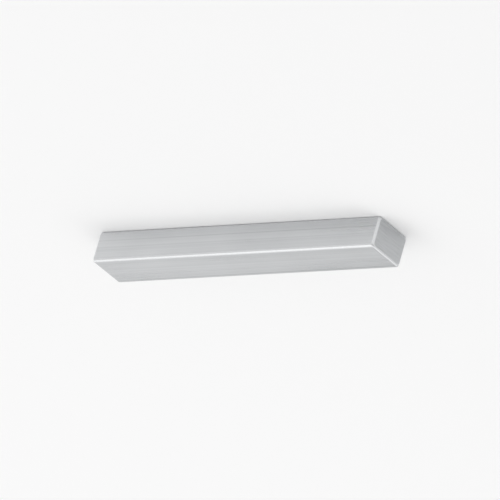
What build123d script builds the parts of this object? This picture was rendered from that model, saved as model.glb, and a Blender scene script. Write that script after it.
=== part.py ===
from build123d import *
from math import cos, radians, sin
import os

# Parallel key with square ends: a plain bar of drawn key steel, cut to length, that sits half in a
# shaft's keyway and half in the hub's and makes the two turn together.
#
# Millimetres. +X runs along the key, +Y across it and +Z up. The key lies on one of its two broad
# faces, and the origin is the middle of that face.

# Driving dimensions
length = 117.475  # from end face to end face, 4 5/8 in
width = 15.875  # between the side faces, which fit the keyways' walls, 5/8 in
height = 11.1125  # between the broad faces, 7/16 in
long_edge_radius = 1.0  # rounding of the four edges that run along the drawn bar
end_edge_radius = 0.8  # rounding of the cut edges round each end face
end_steps = 12  # equal steps of turn in which an end's rounding is drawn

MIDDLE = Plane.YZ  # the plane halfway along the key, square to its length


def cross_section(inset):
    """The key's section square to its length, drawn in by inset on each of its four sides.

    Its corners keep the radius of the long edges however far it is drawn in, so the key's eight
    corners are blunter than its edges, as tumbling the cut key leaves them.
    """
    return RectangleRounded(width - 2 * inset, height - 2 * inset, long_edge_radius)


def straight_bar():
    """The bar between the roundings of its two ends, where its section stays the same."""
    half_span = length / 2 - end_edge_radius
    return extrude(MIDDLE * cross_section(0), amount=half_span, both=True)


def rounded_end():
    """The last stretch at the +X end, drawn in along a quarter circle down to the flat end face."""
    sections = []
    for step in range(end_steps + 1):
        turn = radians(90 * step / end_steps)
        from_middle = length / 2 - end_edge_radius * (1 - sin(turn))
        inset = end_edge_radius * (1 - cos(turn))
        sections.append(MIDDLE.offset(from_middle) * cross_section(inset))
    return loft(sections)


def parallel_key():
    """The whole key, lying on a broad face."""
    end = rounded_end()
    key = straight_bar() + end + mirror(end, about=MIDDLE)
    return Pos(0, 0, height / 2) * key


os.makedirs("parts", exist_ok=True)
export_step(parallel_key(), "parts/parallel_key.step")
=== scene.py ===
from math import cos, radians, sin

import bpy
from mathutils import Matrix, Vector


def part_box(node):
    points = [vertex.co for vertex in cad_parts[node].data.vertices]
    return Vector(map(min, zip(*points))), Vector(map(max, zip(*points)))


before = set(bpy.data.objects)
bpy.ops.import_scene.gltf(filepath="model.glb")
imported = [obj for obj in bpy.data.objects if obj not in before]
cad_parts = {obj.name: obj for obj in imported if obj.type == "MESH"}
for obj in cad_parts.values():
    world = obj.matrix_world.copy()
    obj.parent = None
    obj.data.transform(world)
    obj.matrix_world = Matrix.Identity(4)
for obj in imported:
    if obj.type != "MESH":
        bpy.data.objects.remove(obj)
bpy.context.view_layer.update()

# A parallel key of bright drawn steel, lying on a pale floor in soft studio light. Metres, in the CAD's
# frame: +X runs along the key, +Y across it and +Z up. An azimuth is measured in degrees from the -Y side
# towards +X, and an elevation in degrees above the floor.

KEY = "parallel_key"  # the one CAD node, which keeps its own mesh and only gets a finish here

# ---- Camera: where it stands, how it is turned about its line of sight and how much it takes in
VIEW_AZIMUTH = -42.128
VIEW_ELEVATION = 22.744
VIEW_ROLL = -163.924  # the picture shows the key nearly upside down
VIEW_DISTANCE = 5.942  # from the key's middle, so far that its long edges stay nearly parallel
VIEW_WIDTH = 0.16437  # what the frame spans at the key's middle
VIEW_SHIFT = (0.00034, -0.00010)  # where the camera aims, right and up of the key's middle
SENSOR_WIDTH = 36  # millimetres

# ---- Light: a room as bright as the floor at its horizon and dimmer above, and lamps that face the key
WORLD_HEIGHTS = (0.06, 0.35)  # sines of the elevations between which the room dims
WORLD_STRENGTHS = (0.92, 0.60)
WORLD_COLOUR = (1.0, 1.0, 1.0)
LAMPS = [  # name, azimuth, elevation, distance, width, height, watts
    ("top_lamp", 0, 90, 2.0, 3.5, 3.5, 21.0),
    ("side_lamp", 56, 38, 2.0, 2.0, 1.2, 3.5),
    ("back_lamp", 114, 32, 2.0, 1.75, 1.0, 2.2),
    ("far_lamp", 210, 38, 2.0, 1.6, 1.0, 2.2),
]

# ---- Floor
FLOOR_HALF_SIZE = 12
FLOOR_COLOUR = (0.96, 0.96, 0.96)
FLOOR_ROUGHNESS = 0.9
FLOOR_SPECULAR = 0.2

# ---- Drawn steel: its colours, and its roughness as (least, most)
SIDE_DARK = (0.53, 0.54, 0.55)
SIDE_LIGHT = (0.67, 0.68, 0.69)
SCORE_COLOUR = (0.41, 0.42, 0.43)
END_DARK = (0.44, 0.45, 0.46)
END_LIGHT = (0.58, 0.59, 0.60)
# A painted highlight: the rounded edges are coloured lighter than the faces, for the light they catch;
# their smoother finish is EDGE_ROUGHNESS.
EDGE_HIGHLIGHT_COLOUR = (0.73, 0.74, 0.75)
SIDE_ROUGHNESS = (0.26, 0.36)
END_ROUGHNESS = (0.36, 0.46)
EDGE_ROUGHNESS = 0.24

# Its marks, each a noise as (size along X, along Y and along Z, detail)
BANDS = (0.60, 0.0030, 0.0030, 2.0)
DIE_LINES = (0.50, 0.00060, 0.00060, 3.0)
FINE_LINES = (0.12, 0.00020, 0.00020, 2.0)
SCORES = (0.80, 0.00110, 0.00110, 1.0)
CLOUDS = (0.040, 0.012, 0.012, 2.0)
GRINDING = (1.0, 0.008, 0.00030, 2.0)
NOISE_ROUGHNESS = 0.55

# How the marks are mixed, and which stretch of a noise runs from the least to the most of what it drives
DIE_SHARE = 0.5  # of the die lines, beside the bands or the clouds
CLOUD_SHARE = 0.35  # of the clouds in the sides' tone
TONE_RANGE = (0.36, 0.64)
GLOSS_RANGE = (0.35, 0.65)
GRINDING_RANGE = (0.30, 0.70)
SCORE_RANGE = (0.64, 0.70)
DIE_DEPTH = 0.0000020  # metres, as the next
FINE_DEPTH = 0.0000006

# Where a finish starts and is complete, by the surface's direction
ROUND_RANGE = (1.0, 0.85)  # for the edges: the sum of the normal's parts to the fourth, 1 on a flat face
END_RANGE = (0.6, 0.95)  # for the end faces: the size of the normal's part along X

# ---- Where Blender's Mix node has its factor, A and B, and its result, for numbers and for colours
MIX_INPUTS = {"FLOAT": (0, 2, 3), "RGBA": (0, 6, 7)}
MIX_OUTPUT = {"FLOAT": 0, "RGBA": 2}


# ---------------------------------------------------------------- small helpers
class Nodes:
    """Builds a node tree: each call adds a node and gives back one of its outputs."""

    def __init__(self, tree):
        self.tree = tree

    def add(self, kind, inputs=(), out=0, **settings):
        node = self.tree.nodes.new("ShaderNode" + kind)
        for name, value in settings.items():
            setattr(node, name, value)
        for name, value in dict(inputs).items():
            self.feed(node.inputs[name], value)
        return node.outputs[out]

    def feed(self, socket, value):
        if isinstance(value, bpy.types.NodeSocket):
            self.tree.links.new(value, socket)
        else:
            socket.default_value = value

    def spread(self, value, low, high, to_low=0.0, to_high=1.0):
        inputs = {"Value": value, "From Min": low, "From Max": high, "To Min": to_low, "To Max": to_high}
        return self.add("MapRange", inputs)

    def mix(self, kind, share, a, b):
        inputs = zip(MIX_INPUTS[kind], (share, a, b))
        return self.add("Mix", inputs, out=MIX_OUTPUT[kind], data_type=kind)

    def mix_colours(self, share, a, b):
        return self.mix("RGBA", share, a, b)

    def mix_values(self, share, a, b):
        return self.mix("FLOAT", share, a, b)


def opaque(colour):
    """The colour with the fourth value that Blender's colour sockets want."""
    return (*colour, 1.0)


def direction(azimuth, elevation):
    """The unit vector that points from the key to that side."""
    around, up = radians(azimuth), radians(elevation)
    return Vector((sin(around) * cos(up), -cos(around) * cos(up), sin(up)))


def link(thing):
    """Puts the object into the scene, and gives it back."""
    bpy.context.scene.collection.objects.link(thing)
    return thing


def new_material(name):
    """A material of that name, and its shader."""
    material = bpy.data.materials.new(name)
    material.use_nodes = True
    return material, material.node_tree.nodes["Principled BSDF"]


# ---------------------------------------------------------------- materials
def mark(nodes, place, size_x, size_y, size_z, detail):
    """Noise drawn out into marks of that size."""
    stretched = nodes.add("Mapping", {"Vector": place, "Scale": (1 / size_x, 1 / size_y, 1 / size_z)})
    inputs = {"Vector": stretched, "Scale": 1.0, "Detail": detail, "Roughness": NOISE_ROUGHNESS}
    return nodes.add("TexNoise", inputs)


def edge_share(nodes, normal):
    """1 on the rounded edges and 0 on the flat faces."""
    squares = nodes.add("VectorMath", {0: normal, 1: normal}, operation="MULTIPLY")
    flatness = nodes.add("VectorMath", {0: squares, 1: squares}, out="Value", operation="DOT_PRODUCT")
    return nodes.spread(flatness, *ROUND_RANGE)


def end_share(nodes, normal):
    """1 on the two end faces and 0 along the key."""
    along_x = nodes.add("SeparateXYZ", {"Vector": normal}, out="X")
    return nodes.spread(nodes.add("Math", {0: along_x}, operation="ABSOLUTE"), *END_RANGE)


def drawn_steel():
    """Steel with the die's lines along its sides, ground across its ends and smooth on its edges, whose
    lighter colour there is a painted highlight.
    """
    material, shader = new_material("drawn_key_steel")
    nodes = Nodes(material.node_tree)
    place = nodes.add("TexCoord", out="Object")
    normal = nodes.add("NewGeometry", out="Normal")
    edge = edge_share(nodes, normal)
    end = end_share(nodes, normal)

    bands = mark(nodes, place, *BANDS)
    die_lines = mark(nodes, place, *DIE_LINES)
    fine_lines = mark(nodes, place, *FINE_LINES)
    clouds = mark(nodes, place, *CLOUDS)
    grinding = mark(nodes, place, *GRINDING)
    scores = nodes.spread(mark(nodes, place, *SCORES), *SCORE_RANGE)

    lines = nodes.mix_values(DIE_SHARE, bands, die_lines)
    side_tone = nodes.spread(nodes.mix_values(CLOUD_SHARE, lines, clouds), *TONE_RANGE)
    side = nodes.mix_colours(side_tone, opaque(SIDE_DARK), opaque(SIDE_LIGHT))
    side = nodes.mix_colours(scores, side, opaque(SCORE_COLOUR))
    end_tone = nodes.spread(grinding, *GRINDING_RANGE)
    ground = nodes.mix_colours(end_tone, opaque(END_DARK), opaque(END_LIGHT))
    face = nodes.mix_colours(end, side, ground)
    # The rounded edges take the lighter colour, a painted highlight along them.
    nodes.feed(shader.inputs["Base Color"], nodes.mix_colours(edge, face, opaque(EDGE_HIGHLIGHT_COLOUR)))

    gloss = nodes.mix_values(DIE_SHARE, die_lines, clouds)
    side_roughness = nodes.spread(gloss, *GLOSS_RANGE, *SIDE_ROUGHNESS)
    end_roughness = nodes.spread(grinding, *GRINDING_RANGE, *END_ROUGHNESS)
    face_roughness = nodes.mix_values(end, side_roughness, end_roughness)
    nodes.feed(shader.inputs["Roughness"], nodes.mix_values(edge, face_roughness, EDGE_ROUGHNESS))

    relief = nodes.mix_values(end, die_lines, grinding)
    relief = nodes.add("Math", {0: relief, 1: scores}, operation="SUBTRACT")
    bumps = nodes.add("Bump", {"Height": relief, "Distance": DIE_DEPTH})
    bumps = nodes.add("Bump", {"Height": fine_lines, "Distance": FINE_DEPTH, "Normal": bumps})
    nodes.feed(shader.inputs["Normal"], bumps)
    shader.inputs["Metallic"].default_value = 1.0
    return material


def pale_floor():
    """A matt surface that is nearly white."""
    material, shader = new_material("pale_floor")
    shader.inputs["Base Color"].default_value = opaque(FLOOR_COLOUR)
    shader.inputs["Roughness"].default_value = FLOOR_ROUGHNESS
    shader.inputs["Specular IOR Level"].default_value = FLOOR_SPECULAR
    return material


# ---------------------------------------------------------------- stage
def add_floor():
    """A flat square under the key, whose rim is far out of view."""
    mesh = bpy.data.meshes.new("floor")
    far = FLOOR_HALF_SIZE
    corners = [(-far, -far, 0), (far, -far, 0), (far, far, 0), (-far, far, 0)]
    mesh.from_pydata(corners, [], [range(len(corners))])
    mesh.materials.append(pale_floor())
    link(bpy.data.objects.new("floor", mesh))


def add_world():
    """The light of the room all round, by its height above the horizon."""
    world = bpy.data.worlds.new("studio")
    world.use_nodes = True
    nodes = Nodes(world.node_tree)
    background = world.node_tree.nodes["Background"]
    height = nodes.add("SeparateXYZ", {"Vector": nodes.add("TexCoord", out="Generated")}, out="Z")
    nodes.feed(background.inputs["Strength"], nodes.spread(height, *WORLD_HEIGHTS, *WORLD_STRENGTHS))
    nodes.feed(background.inputs["Color"], opaque(WORLD_COLOUR))
    bpy.context.scene.world = world


def add_lamps():
    """Soft rectangular lamps, each turned to face the key."""
    for name, azimuth, elevation, distance, width, height, power in LAMPS:
        data = bpy.data.lights.new(name, "AREA")
        data.shape = "RECTANGLE"
        data.size = width
        data.size_y = height
        data.energy = power
        lamp = link(bpy.data.objects.new(name, data))
        lamp.location = direction(azimuth, elevation) * distance
        lamp.rotation_euler = direction(azimuth, elevation).to_track_quat("Z", "Y").to_euler()


def add_camera():
    """A camera aimed at the key's middle from far away, and turned about its line of sight."""
    low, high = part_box(KEY)
    back = direction(VIEW_AZIMUTH, VIEW_ELEVATION)
    level = Vector((0, 0, 1)).cross(back).normalized()
    right = Matrix.Rotation(radians(VIEW_ROLL), 3, back) @ level
    up = back.cross(right)
    data = bpy.data.cameras.new("camera")
    data.sensor_width = SENSOR_WIDTH
    data.lens = SENSOR_WIDTH * VIEW_DISTANCE / VIEW_WIDTH
    camera = link(bpy.data.objects.new("camera", data))
    aim = (low + high) / 2 + VIEW_SHIFT[0] * right + VIEW_SHIFT[1] * up
    turn = Matrix((right, up, back)).transposed().to_4x4()
    camera.matrix_world = Matrix.Translation(aim + VIEW_DISTANCE * back) @ turn
    bpy.context.scene.camera = camera


# ---------------------------------------------------------------- build
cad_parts[KEY].material_slots[0].material = drawn_steel()
add_floor()
add_world()
add_lamps()
add_camera()
bpy.context.scene.view_settings.view_transform = "Standard"
